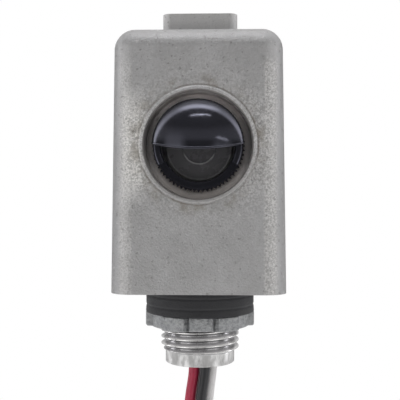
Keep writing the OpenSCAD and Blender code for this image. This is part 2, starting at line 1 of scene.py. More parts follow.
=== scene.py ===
# %% [markdown]
# # A photocell switch, dressed in Blender
# A small die-cast box watches the daylight through a hooded eye and switches a lamp. It stands on a
# threaded conduit stem, and three leads come out of that stem. The solids arrive ready-made, so this
# lesson is about looks: smooth castings, a true thread, moulded plastic, rubber and wire.

# %% Load the frame and measure it
import math

import bmesh
import bpy
from mathutils import Matrix, Vector


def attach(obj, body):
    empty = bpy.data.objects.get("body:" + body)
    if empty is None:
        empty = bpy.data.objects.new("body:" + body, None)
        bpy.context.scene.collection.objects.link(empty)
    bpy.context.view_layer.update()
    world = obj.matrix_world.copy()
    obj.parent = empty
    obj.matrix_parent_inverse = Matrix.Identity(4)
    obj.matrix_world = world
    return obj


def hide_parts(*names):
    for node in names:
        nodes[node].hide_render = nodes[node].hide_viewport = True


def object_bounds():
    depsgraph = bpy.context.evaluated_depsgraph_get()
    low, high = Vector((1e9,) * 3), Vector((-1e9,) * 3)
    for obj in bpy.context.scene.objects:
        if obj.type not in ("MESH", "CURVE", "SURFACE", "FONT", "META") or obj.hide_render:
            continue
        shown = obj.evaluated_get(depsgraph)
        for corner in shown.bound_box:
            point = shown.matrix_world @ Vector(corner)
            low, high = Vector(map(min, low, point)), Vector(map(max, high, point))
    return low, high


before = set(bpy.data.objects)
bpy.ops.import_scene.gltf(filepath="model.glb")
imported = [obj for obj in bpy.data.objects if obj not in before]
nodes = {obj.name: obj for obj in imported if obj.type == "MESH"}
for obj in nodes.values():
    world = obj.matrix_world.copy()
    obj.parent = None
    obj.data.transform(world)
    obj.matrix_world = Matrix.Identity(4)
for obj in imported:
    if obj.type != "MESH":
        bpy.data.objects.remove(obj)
cad_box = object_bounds()
MM = 0.001


def new_object(name, data):
    """Object made from some data and linked to the scene, so that it shows."""
    made = bpy.data.objects.new(name, data)
    bpy.context.scene.collection.objects.link(made)
    return made


print("CAD box in mm:", [[round(v / MM, 1) for v in corner] for corner in cad_box])

# %% [markdown]
# ## Camera
# A product photographer stands close and level, a little above the middle of the box. A level camera
# keeps upright edges upright, so the box only narrows where it really has draft. The distance and the
# focal length are tied: their ratio fixes the size in the frame, and the distance alone fixes how much
# nearer things swell.

# %% Camera
FRAME_PX = 400
SENSOR_MM = 36
MM_PER_PX = 0.2766
FOCAL_PX = 740
CAMERA_HEIGHT = 34.2 * MM
CAMERA_AZIMUTH = math.radians(1.7)
camera_distance = FOCAL_PX * MM_PER_PX * MM

camera = new_object("camera", bpy.data.cameras.new("camera"))
camera.data.sensor_width = SENSOR_MM
camera.data.lens = SENSOR_MM * FOCAL_PX / FRAME_PX
camera.data.clip_start = 5 * MM
camera.location = (
    camera_distance * math.sin(CAMERA_AZIMUTH),
    -camera_distance * math.cos(CAMERA_AZIMUTH),
    CAMERA_HEIGHT,
)
camera.rotation_euler = (math.radians(90), 0, CAMERA_AZIMUTH)
bpy.context.scene.camera = camera
print("lens in mm:", round(camera.data.lens, 1), "distance in mm:", round(camera_distance / MM, 1))

# %% [markdown]
# ## Leads
# Three plastic-covered wires drop out of the stem, side by side at first and then crowded together.
# A lead could be a swept mesh, but a curve with a round bevel is shorter, keeps its own length and
# can be bent later. The points are the route of the plain solids; automatic handles smooth it.

# %% Lead routes and curves
LEAD_D = 3 * MM
LEAD_ROUTES = {
    "red_lead": [
        (-5, 0, 18.5), (-5, 0, 8), (-3.8, 0.1, 0), (-1.9, 0.3, -8), (-1.6, 0.3, -12), (-2.6, 0.3, -20),
        (-4.2, 0.2, -35), (-5.2, 0, -52), (-5.6, -0.2, -72), (-5.5, -0.2, -96), (-5.2, 0, -122),
        (-5, 0.2, -147),
    ],
    "black_lead": [
        (0, 0, 18.5), (0, 0, 8), (0.5, -0.4, 0), (1.2, -1.1, -8), (1.4, -1.2, -12), (0.4, -1.3, -20),
        (-1, -1.6, -35), (-1.6, -2, -52), (-1.6, -2.4, -72), (-1.2, -2.6, -96), (-0.8, -2.6, -122),
        (-0.6, -2.5, -148),
    ],
    "white_lead": [
        (5, 0, 18.5), (5, 0, 8), (4.4, 0.6, 0), (3.4, 1.4, -8), (3.2, 1.5, -12), (2.3, 1.6, -20),
        (1.2, 1.9, -35), (1, 2.3, -52), (1.5, 2.7, -72), (2.2, 3, -96), (2.8, 3, -122), (3, 2.8, -146),
    ],
}


def lead_curve(name, route):
    """A round lead along a route in millimetres."""
    curve = bpy.data.curves.new(name, "CURVE")
    curve.dimensions = "3D"
    curve.bevel_depth = LEAD_D / 2
    curve.bevel_resolution = 6
    curve.use_fill_caps = True
    spline = curve.splines.new("BEZIER")
    spline.resolution_u = 8
    spline.bezier_points.add(len(route) - 1)
    for point, place in zip(spline.bezier_points, route):
        point.co = Vector(place) * MM
        point.handle_left_type = point.handle_right_type = "AUTO"
    return new_object(name, curve)


def route_length(route):
    """Length in metres of the straight steps along a route in millimetres."""
    return sum((Vector(b) - Vector(a)).length for a, b in zip(route, route[1:])) * MM


leads = {name: lead_curve("insulated_" + name, route) for name, route in LEAD_ROUTES.items()}
print("lead lengths in mm:", {n: round(route_length(r) / MM) for n, r in LEAD_ROUTES.items()})

# %% [markdown]
# ## Mesh helpers
# Most pieces here are turned parts, so one helper spins a profile. A profile is a short list of
# corners, each with its own rounding radius: real edges are never knife sharp, and the small arcs are
# what catches the light. Shading is smooth everywhere except over edges that stay sharp on purpose.

# %% Profiles and turning
EYE_Z = 48.2
FACE_Y = -18
AT_EYE = Matrix.Translation(Vector((0, FACE_Y, EYE_Z))) @ Matrix.Rotation(math.radians(90), 4, "X")


def soften(corners, steps=5):
    """Closed profile of (radius, height, rounding) corners with each corner turned into an arc."""
    points = []
    count = len(corners)
    for i, (r, z, rounding) in enumerate(corners):
        here = Vector((r, z))
        if rounding == 0:
            points.append(here)
            continue
        before = (Vector(corners[i - 1][:2]) - here).normalized()
        after = (Vector(corners[(i + 1) % count][:2]) - here).normalized()
        half = before.angle(after) / 2
        start = here + before * rounding / math.tan(half)
        end = here + after * rounding / math.tan(half)
        centre = here + (before + after).normalized() * rounding / math.sin(half)
        for k in range(steps + 1):
            arm = (start - centre).lerp(end - centre, k / steps)
            points.append(centre + arm.normalized() * rounding)
    return points


def lathe(profile, segments=128, start=0.0, sweep=360.0):
    """Spin a closed (radius, height) profile round Z, all the way or through an arc in degrees."""
    bm = bmesh.new()
    full = sweep >= 360
    columns = segments if full else segments + 1
    rings = []
    for r, z in profile:
        if r < 1e-6:
            rings.append([bm.verts.new((0, 0, z))] * columns)
            continue
        angles = [math.radians(start + sweep * i / segments) for i in range(columns)]
        rings.append([bm.verts.new((r * math.cos(a), r * math.sin(a), z)) for a in angles])
    for ring, following in zip(rings, rings[1:] + rings[:1]):
        for i in range(segments):
            j = (i + 1) % columns
            corners = dict.fromkeys((ring[i], ring[j], following[j], following[i]))
            if len(corners) > 2:
                bm.faces.new(corners)
    if not full:
        bm.faces.new([ring[0] for ring in rings])
        bm.faces.new([ring[-1] for ring in reversed(rings)])
    bmesh.ops.recalc_face_normals(bm, faces=bm.faces)
    return bm


# %% Shading, joining and seating
def smooth_by_angle(bm, degrees):
    """Smooth shading, with edges sharper than an angle left sharp."""
    for face in bm.faces:
        face.smooth = True
    for edge in bm.edges:
        edge.smooth = edge.calc_face_angle(0) < math.radians(degrees)


def mesh_piece(name, shapes, place=Matrix(), sharp=35):
    """One object in metres from bmesh shapes drawn in millimetres."""
    mesh = bpy.data.meshes.new(name)
    joined = bmesh.new()
    for bm in shapes:
        part = bpy.data.meshes.new("part")
        bm.to_mesh(part)
        joined.from_mesh(part)
        bpy.data.meshes.remove(part)
        bm.free()
    smooth_by_angle(joined, sharp)
    bmesh.ops.transform(joined, matrix=Matrix.Scale(MM, 4) @ place, verts=joined.verts)
    joined.to_mesh(mesh)
    joined.free()
    print(name, len(mesh.polygons), "faces")
    return new_object(name, mesh)


def break_edges(piece, name, width, angle, miter="MITER_SHARP"):
    """Bevel of a width in millimetres on all edges sharper than an angle in degrees."""
    soft = piece.modifiers.new(name, "BEVEL")
    soft.width = width * MM
    soft.segments = 3
    soft.limit_method = "ANGLE"
    soft.angle_limit = math.radians(angle)
    soft.miter_outer = miter


def seat(piece, body, slot, material, *replaced):
    """Give a piece its finish, its body and the solids that it stands for."""
    piece.data.materials.clear()
    piece.data.materials.append(material)
    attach(piece, body)
    if replaced:
        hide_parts(*replaced)


# %% [markdown]
# ## Node helpers and shared grain
# Every finish needs some unevenness: castings are mottled, rubber is dusty, plastic has faint flow
# marks. One shader group makes that once, from noise at two scales and small pits, and each material
# places it with its own sizes. The group puts out plain values only, so it can feed any socket. Trees
# written link by link get long, so small helpers add a node, feed its inputs and hand back an output. A
# socket knows its own tree (its id_data), so most helpers need not be told which tree they work in.

# %% Node helpers
def feed(node, inputs):
    """Link each input to a socket, or set it to a value."""
    for key, value in inputs.items():
        if isinstance(value, bpy.types.NodeSocket):
            node.id_data.links.new(value, node.inputs[key])
        else:
            node.inputs[key].default_value = value
    return node


def add(tree, kind, inputs=None, **settings):
    """New node with its settings and inputs."""
    node = tree.nodes.new(kind)
    for key, value in settings.items():
        setattr(node, key, value)
    return feed(node, inputs or {})


def tree_of(*values):
    """The node tree of the first socket among some values."""
    return next(v.id_data for v in values if isinstance(v, bpy.types.NodeSocket))


def put(tree, kind, inputs=None, **settings):
    """First output of a new node."""
    return add(tree, kind, inputs, **settings).outputs[0]


def noise(place, scale, detail, rough):
    settings = {"Vector": place, "Scale": scale, "Detail": detail, "Roughness": rough}
    return put(place.id_data, "ShaderNodeTexNoise", settings)


def remap(value, low, high, to_low=0.0, to_high=1.0, kind="SMOOTHSTEP"):
    """Value moved from one range to another, with soft ends."""
    ends = {"Value": value, "From Min": low, "From Max": high, "To Min": to_low, "To Max": to_high}
    return put(value.id_data, "ShaderNodeMapRange", ends, interpolation_type=kind)


def calc(operation, a, b=0.0, c=0.0):
    return put(a.id_data, "ShaderNodeMath", {0: a, 1: b, 2: c}, operation=operation)


def product(first, *others):
    """Values multiplied together."""
    for other in others:
        first = calc("MULTIPLY", first, other)
    return first


def band(value, start, full, full_end, end):
    """Mask that rises from start to full and falls from full_end to end."""
    return product(remap(value, start, full), remap(value, end, full_end))


def split(vector):
    """X, Y and Z of a vector."""
    return add(vector.id_data, "ShaderNodeSeparateXYZ", {0: vector}).outputs


def axis_distance(place, across):
    """Distance from an axis through the origin, from the directions across it."""
    flat = put(place.id_data, "ShaderNodeVectorMath", {0: place, 1: across}, operation="MULTIPLY")
    return add(place.id_data, "ShaderNodeVectorMath", {0: flat}, operation="LENGTH").outputs["Value"]


def mix(factor, a, b, blend="MIX"):
    tree = tree_of(factor, a, b)
    colours = {0: factor, 6: a, 7: b}
    return add(tree, "ShaderNodeMix", colours, data_type="RGBA", blend_type=blend).outputs[2]


def coats(colour, *pairs):
    """A colour with others laid over it in turn, each through its mask."""
    for mask, coat in pairs:
        colour = mix(mask, colour, coat)
    return colour


def bump(height, distance):
    return put(height.id_data, "ShaderNodeBump", {"Height": height, "Distance": distance})


def rgb(r, g, b):
    return (r, g, b, 1.0)


def empty_tree(owner):
    """Node tree of a material or a world, cleared."""
    owner.use_nodes = True
    owner.node_tree.nodes.clear()
    return owner.node_tree


def sockets(tree, way, kind, *labels):
    """Named inputs or outputs of a node group."""
    for label in labels:
        tree.interface.new_socket(label, in_out=way, socket_type="NodeSocket" + kind)


# %% Grain group and plain finishes
def grain_group():
    """Mottle, flecks and pits from one place vector."""
    tree = bpy.data.node_groups.new("surface_grain", "ShaderNodeTree")
    sockets(tree, "INPUT", "Vector", "Place")
    sockets(tree, "INPUT", "Float", "Mottle Scale", "Fleck Scale")
    sockets(tree, "OUTPUT", "Float", "Mottle", "Fleck", "Pits")
    given = add(tree, "NodeGroupInput").outputs
    broad = noise(given["Place"], given["Mottle Scale"], 5.0, 0.6)
    fine = noise(given["Place"], given["Fleck Scale"], 2.0, 0.7)
    cells = {"Vector": given["Place"], "Scale": product(given["Fleck Scale"], 0.45)}
    craters = add(tree, "ShaderNodeTexVoronoi", cells).outputs["Distance"]
    add(tree, "NodeGroupOutput", {
        "Mottle": remap(broad, 0.3, 0.7), "Fleck": remap(fine, 0.32, 0.68),
        "Pits": remap(craters, 0.0, 0.35)})
    return tree


surface_grain = grain_group()


def grain_of(place, mottle_scale, fleck_scale):
    """Outputs of the grain group for one material."""
    sizes = {"Place": place, "Mottle Scale": mottle_scale, "Fleck Scale": fleck_scale}
    return add(place.id_data, "ShaderNodeGroup", sizes, node_tree=surface_grain).outputs


def new_material(name):
    """Material with a Principled shader, and its Object coordinates."""
    material = bpy.data.materials.new(name)
    tree = empty_tree(material)
    shader = add(tree, "ShaderNodeBsdfPrincipled")
    add(tree, "ShaderNodeOutputMaterial", {"Surface": shader.outputs["BSDF"]})
    return material, shader, add(tree, "ShaderNodeTexCoord").outputs["Object"]


def finish(name, dark, light, rough, metallic=0.0, mottle_scale=150.0, fleck_scale=2500.0, relief=0.02):
    """A two-tone finish whose colour, roughness and relief in millimetres all follow the grain."""
    material, shader, place = new_material(name)
    grain = grain_of(place, mottle_scale, fleck_scale)
    tone = calc("MULTIPLY_ADD", grain["Mottle"], 0.5, product(grain["Fleck"], 0.5))
    feed(shader, {
        "Base Color": mix(tone, rgb(*dark), rgb(*light)),
        "Roughness": remap(tone, 0.2, 0.8, *rough),
        "Metallic": metallic,
        "Normal": bump(tone, relief * MM),
    })
    return material


# %% [markdown]
# ## Places round the eye
# Several finishes change with the distance from the eye's axis: the casting has a painted highlight on the
# bead, is dull with painted light and shade in the bore and is flecked beside it, and the lens has one thin
# ring with a painted highlight. A second small group works out that distance, the places across and over the
# axis and the depth, all from Object coordinates. Its values are in millimetres, so the limits of the masks
# can be read off the part.

# %% Eye place group
def eye_place_group():
    """Reach from the eye's axis, places across and over it, the height's share of the reach, and depth."""
    tree = bpy.data.node_groups.new("eye_place", "ShaderNodeTree")
    sockets(tree, "INPUT", "Vector", "Place")
    sockets(tree, "OUTPUT", "Float", "Reach", "Across", "Height", "Rise", "Depth")
    in_mm = {0: add(tree, "NodeGroupInput").outputs["Place"], "Scale": 1 / MM}
    scaled = put(tree, "ShaderNodeVectorMath", in_mm, operation="SCALE")
    from_eye = {0: scaled, 1: (0, FACE_Y, EYE_Z)}
    centred = put(tree, "ShaderNodeVectorMath", from_eye, operation="SUBTRACT")
    reach = axis_distance(centred, (1, 0, 1))
    parts = split(centred)
    add(tree, "NodeGroupOutput", {
        "Reach": reach, "Across": parts["X"], "Height": parts["Z"],
        "Rise": calc("DIVIDE", parts["Z"], reach), "Depth": parts["Y"]})
    return tree


eye_place = eye_place_group()


def round_the_eye(place):
    """Outputs of the eye place group for one material."""
    return add(place.id_data, "ShaderNodeGroup", {"Place": place}, node_tree=eye_place).outputs


# %% [markdown]
# ## Cast zinc
# The box is a tumbled zinc casting: a satin grey skin with fine flecks and specks, a few pits, and warm
# smudges where handling and flow lines gather round the eye. Plain noise would be even all over, so masks
# lay each change where it belongs. On the skin they put more flecks beside the eye, whose bright ones on the
# upright corners are painted sparkle, paint a highlight along each upright corner, on the boss and in a band
# left of the eye, and paint shade on the sides and roof edge. Round the eye they paint a highlight on the
# upper crest of the bead and shade on its lower half, darken its foot and dull the bore, painting it paler at
# its top, bottom and ledge than at its sides, with a painted shadow along its front brink.

# %% Cast zinc: the skin
ZINC_DARK = rgb(0.47, 0.465, 0.465)
ZINC_LIGHT = rgb(0.53, 0.525, 0.527)
ZINC_HIGHLIGHT = rgb(0.74, 0.73, 0.72)
ZINC_SHADED = rgb(0.33, 0.328, 0.33)
FLECK_DARK = rgb(0.66, 0.65, 0.63)
FLECK_LIGHT = rgb(1.5, 1.49, 1.47)
SPECK_DARK = rgb(0.2, 0.19, 0.18)
SPECK_LIGHT = rgb(0.9, 0.88, 0.85)


def on_face(eye):
    """Mask of the box's front face."""
    return remap(eye["Depth"], 1.2, 0.6)


def zinc_skin(place, grain, eye):
    """Mottled grey with a painted highlight on the corners, the boss and left of the eye, painted shade on
    the sides and roof edge, flecks and specks.
    """
    width = calc("ABSOLUTE", eye["Across"])
    # Painted highlight: the upright corners and the roof boss are lifted towards a pale grey.
    corner = product(
        band(width, 16.2, 17.2, 19.2, 20.8), remap(eye["Height"], 24.0, 19.0),
        remap(eye["Depth"], 5.0, 3.5), remap(eye["Across"], -1.0, 1.0, 0.5, 0.8))
    boss = remap(eye["Height"], 33.0, 36.5, 0.0, 0.4)
    lift = calc("MAXIMUM", product(corner, 0.3), boss)
    side = product(remap(width, 19.6, 21.4), remap(eye["Depth"], 5.0, 16.0, 0.6, 0.2))
    roof = product(band(eye["Height"], 24.5, 27.0, 30.0, 31.0), 0.5)
    # Painted highlight in a band left of the eye.
    left_highlight = product(
        band(eye["Height"], -17.0, -8.0, 8.0, 17.0), on_face(eye),
        band(eye["Across"], -20.5, -17.5, -16.0, -12.0))
    mottled = mix(grain["Mottle"], ZINC_DARK, ZINC_LIGHT)
    shade = calc("MAXIMUM", side, roof)
    skin = coats(mottled, (lift, ZINC_HIGHLIGHT), (shade, ZINC_SHADED), (left_highlight, ZINC_HIGHLIGHT))
    upright = calc("ABSOLUTE", eye["Rise"])
    beside = product(
        remap(eye["Reach"], 26.0, 15.0), on_face(eye),
        remap(upright, 0.95, 0.4, 0.3, 1.0))
    # Flecks are the casting's grain, deeper beside the eye; on the upright corners their bright ones are
    # painted sparkle.
    fleck_depth = calc("MULTIPLY_ADD", calc("MAXIMUM", beside, corner), 0.72, 0.14)
    flecks = mix(grain["Fleck"], FLECK_DARK, FLECK_LIGHT)
    specks = noise(place, 1000.0, 1.0, 0.5)
    return coats(
        skin, (fleck_depth, mix(1.0, skin, flecks, "MULTIPLY")),
        (remap(specks, 0.64, 0.72, 0.0, 0.45), SPECK_DARK),
        (remap(specks, 0.34, 0.26, 0.0, 0.2), SPECK_LIGHT))


# %% Cast zinc: the bead and the bore
SMUDGE = rgb(0.26, 0.22, 0.17)
FOOT_DARK = rgb(0.2, 0.175, 0.15)
BEAD_SHADED = rgb(0.36, 0.35, 0.345)
BEAD_HIGHLIGHT = rgb(0.62, 0.61, 0.62)
BORE_SHADED_SIDE = rgb(0.5, 0.48, 0.475)
BORE_LIT_UPRIGHT = rgb(0.74, 0.7, 0.67)
BORE_LIT_TOP = rgb(0.97, 0.91, 0.89)
LEDGE_LIT = rgb(0.97, 0.92, 0.9)
BRINK_SHADOW = rgb(0.12, 0.112, 0.108)


def zinc_bead(place, grain, eye, skin):
    """The skin with warm smudges round the bead, a darker warm line at its foot, painted shade on its lower
    half and a painted highlight on its upper crest.
    """
    face = on_face(eye)
    smudge = remap(noise(place, 260.0, 4.0, 0.65), 0.42, 0.68)
    ring = product(band(eye["Reach"], 14.9, 15.3, 15.6, 19.0), face, smudge, 0.6)
    # A darker, warm line along the bead's foot.
    foot = product(
        band(eye["Reach"], 15.0, 15.2, 15.3, 15.7), face,
        remap(grain["Mottle"], 0.0, 1.0, 0.1, 0.6))
    bead = product(band(eye["Reach"], 13.95, 14.3, 14.6, 15.1), face)
    shaded = product(bead, remap(eye["Rise"], 0.3, -0.9, 0.0, 0.5))
    # Painted highlight on the bead's crest, strongest towards the top.
    crest = product(bead, remap(smudge, 0.0, 1.0, 0.3, 0.05), remap(eye["Rise"], -0.9, 0.2))
    return coats(skin, (ring, SMUDGE), (foot, FOOT_DARK), (shaded, BEAD_SHADED), (crest, BEAD_HIGHLIGHT))


def bore_light_and_shade(eye):
    """Bore of painted light and shade: darker sides, paler top, bottom and ledge, and a painted shadow at its
    front brink.
    """
    # Painted light and shade: top and bottom lighter than the sides, the ledge lighter still, a painted
    # shadow at the brink.
    upright = remap(calc("ABSOLUTE", eye["Rise"]), 0.3, 0.95)
    top = remap(eye["Rise"], 0.3, 0.9)
    ledge = remap(eye["Reach"], 13.5, 12.7, 0.0, 0.45)
    brink = product(remap(eye["Reach"], 13.5, 13.75, 0.0, 0.8), remap(eye["Depth"], 1.8, 0.8))
    return coats(BORE_SHADED_SIDE, (upright, BORE_LIT_UPRIGHT), (top, BORE_LIT_TOP), (ledge, LEDGE_LIT), (brink, BRINK_SHADOW))


def cast_zinc():
    material, shader, place = new_material("cast_zinc")
    grain = grain_of(place, 140.0, 2200.0)
    eye = round_the_eye(place)
    outside = zinc_bead(place, grain, eye, zinc_skin(place, grain, eye))
    bore = product(remap(eye["Reach"], 14.14, 14.0), remap(eye["Depth"], 9.0, 8.0))
    sheen = remap(grain["Fleck"], 0.0, 1.0, 0.4, 0.56)
    relief = calc("MULTIPLY_ADD", grain["Pits"], 0.6, grain["Fleck"])
    feed(shader, {
        "Base Color": mix(bore, outside, bore_light_and_shade(eye)),
        "Roughness": calc("MAXIMUM", sheen, product(bore, 0.7)),
        "Metallic": remap(bore, 0.0, 1.0, 0.75, 0.2),
        "Normal": bump(relief, 0.045 * MM),
    })
    return material


# %% [markdown]
# ## Turned zinc and smoked plastic
# The stem was turned, so its thread is nearly a mirror, with painted highlights on its crests and painted
# shade in its roots, while the plain collar below it is scuffed by other metal. The smoked lens is even, with
# a painted
# highlight on its lower half: along the thin ring that the mould left, and at the edge.

# %% Turned zinc and smoked lens
def turned_zinc():
    material, shader, place = new_material("bright_zinc")
    collar = remap(split(place)["Z"], -6.7 * MM, -7.0 * MM)
    drawn = put(place.id_data, "ShaderNodeMapping", {"Vector": place, "Scale": (1, 1, 0.4)})
    scuff = remap(noise(drawn, 520.0, 4.0, 0.65), 0.36, 0.64)
    scuffed = mix(scuff, rgb(0.44, 0.435, 0.43), rgb(0.72, 0.715, 0.71))
    # Painted highlight and shade: the thread's crests are painted lighter and its roots darker.
    crest = remap(axis_distance(place, (1, 1, 0)), 10.0 * MM, 10.6 * MM)
    threaded = mix(crest, rgb(0.48, 0.475, 0.48), rgb(0.84, 0.83, 0.82))
    satin = product(collar, remap(scuff, 0.0, 1.0, 0.46, 0.3))
    feed(shader, {
        "Base Color": mix(collar, threaded, scuffed),
        "Roughness": calc("MAXIMUM", satin, 0.2),
        "Metallic": 1.0,
        "Normal": bump(product(scuff, collar), 0.02 * MM),
    })
    return material


def smoked_lens():
    material, shader, place = new_material("dark_lens")
    mottle = grain_of(place, 200.0, 2200.0)["Mottle"]
    eye = round_the_eye(place)
    lower = remap(eye["Height"], -1.0, -2.6)
    # Painted highlight on the lower half: along the raised ring and along the edge.
    ring = product(band(eye["Reach"], 4.1, 4.3, 4.45, 4.7), lower)
    edge = product(band(eye["Reach"], 8.1, 8.6, 8.9, 9.2), lower, 0.6)
    lower_highlight = product(calc("MAXIMUM", ring, edge), remap(mottle, 0.0, 1.0, 0.7, 1.0))
    smoke = mix(mottle, rgb(0.135, 0.132, 0.14), rgb(0.15, 0.147, 0.155))
    feed(shader, {
        "Base Color": mix(lower_highlight, smoke, rgb(0.45, 0.45, 0.45)),
        "Roughness": remap(mottle, 0.0, 1.0, 0.25, 0.29),
    })
    return material


# %% All the materials
zinc = cast_zinc()
bright_zinc = turned_zinc()
nut_zinc = finish("nut_zinc", (0.2, 0.205, 0.21), (0.5, 0.505, 0.51), (0.34, 0.5), 0.85,
                  mottle_scale=700.0, fleck_scale=1500.0, relief=0.15)
plated_steel = finish("plated_steel", (0.5, 0.5, 0.5), (0.66, 0.66, 0.66), (0.25, 0.4), 1.0)
rubber = finish("black_rubber", (0.018, 0.018, 0.02), (0.036, 0.036, 0.04), (0.5, 0.7),
                mottle_scale=260.0, fleck_scale=2600.0, relief=0.05)
gloss_black = finish("black_gloss", (0.009, 0.009, 0.011), (0.013, 0.013, 0.016), (0.08, 0.14),
                     mottle_scale=200.0, fleck_scale=1500.0, relief=0.002)
gloss = {"Specular IOR Level": 0.8, "Specular Tint": rgb(0.8, 0.81, 1.0)}
feed(gloss_black.node_tree.nodes["Principled BSDF"], gloss)
lens_smoke = smoked_lens()
board_brown = finish("brown_board", (0.09, 0.045, 0.022), (0.16, 0.085, 0.04), (0.45, 0.6))
ceramic = finish("cell_ceramic", (0.5, 0.36, 0.23), (0.68, 0.52, 0.36), (0.3, 0.45))
brass = finish("brass", (0.6, 0.43, 0.18), (0.78, 0.6, 0.3), (0.25, 0.4), 1.0)
silver = finish("silver_contact", (0.72, 0.72, 0.7), (0.86, 0.86, 0.84), (0.15, 0.28), 1.0)
copper = finish("copper", (0.62, 0.28, 0.15), (0.82, 0.44, 0.28), (0.25, 0.4), 1.0)
red_plastic = finish("red_insulation", (0.46, 0.024, 0.065), (0.56, 0.036, 0.088), (0.3, 0.42))
black_plastic = finish("black_insulation", (0.02, 0.02, 0.022), (0.034, 0.034, 0.037), (0.28, 0.4))
white_plastic = finish("white_insulation", (0.78, 0.76, 0.75), (0.88, 0.86, 0.85), (0.3, 0.42))
print("materials:", [m.name for m in bpy.data.materials if m.use_nodes])

# %% [markdown]
# ## Housing
# The casting has a drafted body, large rounded edges, a boss on the roof and a beaded eye. Its form is
# already right in the solid, so it is copied and not redrawn. The copy's triangles are joined and its
# flats dissolved to single faces. A fine bevel breaks the few sharp edges, and weighted normals keep
# the flats flat right up to the rounded edges.

# %% Housing
JOIN_DISTANCE = 0.002
FLAT_ANGLE = math.radians(0.4)
SHARP_ANGLE = 32
EDGE_W = 0.2

mesh = nodes["housing"].data.copy()
bm = bmesh.new()
bm.from_mesh(mesh)
bmesh.ops.remove_doubles(bm, verts=bm.verts, dist=JOIN_DISTANCE * MM)
bmesh.ops.dissolve_limit(bm, angle_limit=FLAT_ANGLE, verts=bm.verts, edges=bm.edges)
smooth_by_angle(bm, SHARP_ANGLE)
bm.to_mesh(mesh)
bm.free()
housing = new_object("cast_housing", mesh)
break_edges(housing, "broken_edges", EDGE_W, SHARP_ANGLE, "MITER_ARC")
housing.modifiers.new("flat_flats", "WEIGHTED_NORMAL").keep_sharp = True
print("housing faces before its bevel:", len(mesh.polygons))
seat(housing, "case", "cast_zinc", zinc, "housing")

# %% [markdown]
# ## Hood
# The black hood is moulded in one: half of a domed barrel shades the eye, the barrel's wall runs down past
# the lip as two legs, and a knurled rim behind them is turned with a fingertip. Half a ball would be the
# quick dome, but its shoulder would be too soft: this one is a flatter cap on a barrel, so the shoulder
# turns fast and draws one thin line of light. It is spun and then cut by a drooping plane, and a fine bead
# swept along the cut rounds its lip. The teeth repeat, so a Geometry Nodes tree sets one small prism
# round a circle.

# %% Hood dome
RIM_BACK = -6.9
RIM_T = 1.5
RIM_FRONT = RIM_BACK + RIM_T
RIM_D = 24.2
TOOTH_H = 0.7
TOOTH_COUNT = 64
VISOR_R = 11.6
VISOR_RISE = 5.2
VISOR_WALL = 1.3
VISOR_EDGE = 1.9
VISOR_TILT = math.radians(17)
BARREL_TOP = RIM_FRONT + 5.8
LIP_BEAD_R = 0.35
LIP_LIFT = 0.6
LIP_INSET = 0.7
LIP_ROUNDING = 0.4
LIP_ANGLE = 50
SINK = 0.1
LEG_SINK = 0.4
LEG_ANGLE = 27
LEG_W = 2.2
HUB_R = 10.8
HUB_BORE_R = 9.35
HUB_END = -10.8


def cap_line(r, rise, steps=24):
    """Half outline of a spherical cap on the barrel, from its edge to its top."""
    ball_r = (r * r + rise * rise) / (2 * rise)
    edge = math.asin(r / ball_r)
    turns = [edge * (1 - i / steps) for i in range(steps + 1)]
    return [(ball_r * math.sin(a), BARREL_TOP + rise - ball_r * (1 - math.cos(a))) for a in turns]


def dome_shell():
    """Domed barrel, cut to the part above the visor's drooping lip."""
    foot = RIM_FRONT - SINK
    outside = [(VISOR_R, foot)] + cap_line(VISOR_R, VISOR_RISE)
    inside = [(VISOR_R - VISOR_WALL, foot)] + cap_line(VISOR_R - VISOR_WALL, VISOR_RISE - VISOR_WALL)
    bm = lathe(outside + inside[::-1], 144)
    droop = (0, math.cos(VISOR_TILT), math.sin(VISOR_TILT))
    everything = bm.verts[:] + bm.edges[:] + bm.faces[:]
    cut = bmesh.ops.bisect_plane(
        bm, geom=everything, plane_co=(0, VISOR_EDGE, RIM_FRONT), plane_no=droop, clear_inner=True)
    lip = [e for e in cut["geom_cut"] if isinstance(e, bmesh.types.BMEdge)]
    filled = bmesh.ops.triangle_fill(bm, use_beauty=True, edges=lip)
    faces = [f for f in filled["geom"] if isinstance(f, bmesh.types.BMFace)]
    bmesh.ops.dissolve_faces(bm, faces=faces)
    bmesh.ops.recalc_face_normals(bm, faces=bm.faces)
    return bm


# %% Hood lip, wall and rim
def lip_path(steps=60):
    """Where the cut plane meets the outside of the barrel and dome, from one side to the other."""
    wall = [(VISOR_R, RIM_FRONT + 1.0)] + cap_line(VISOR_R, VISOR_RISE, steps)
    side = []
    for r, z in wall:
        y = VISOR_EDGE - (z - RIM_FRONT) * math.tan(VISOR_TILT)
        if r > abs(y):
            side.append(Vector((math.sqrt(r * r - y * y), y, z)))
    return side + [Vector((-v.x, v.y, v.z)) for v in reversed(side)]


def lip_bead(path, facets=12):
    """Round bead along the lip's outer edge, sunk most of the way into the dome."""
    up = Vector((0, math.cos(VISOR_TILT), math.sin(VISOR_TILT)))
    turns = [2 * math.pi * k / facets for k in range(facets)]
    bm = bmesh.new()
    rings = []
    for i, here in enumerate(path):
        along = (path[min(i + 1, len(path) - 1)] - path[max(i - 1, 0)]).normalized()
        out = up.cross(along)
        centre = here + LIP_BEAD_R * (LIP_LIFT * up - LIP_INSET * out)
        spokes = [math.cos(t) * out + math.sin(t) * up for t in turns]
        rings.append([bm.verts.new(centre + LIP_BEAD_R * spoke) for spoke in spokes])
    for ring, following in zip(rings, rings[1:]):
        for k in range(facets):
            bm.faces.new((ring[k], ring[k - 1], following[k - 1], following[k]))
    bm.faces.new(rings[0])
    bm.faces.new(rings[-1])
    bmesh.ops.recalc_face_normals(bm, faces=bm.faces)
    return bm


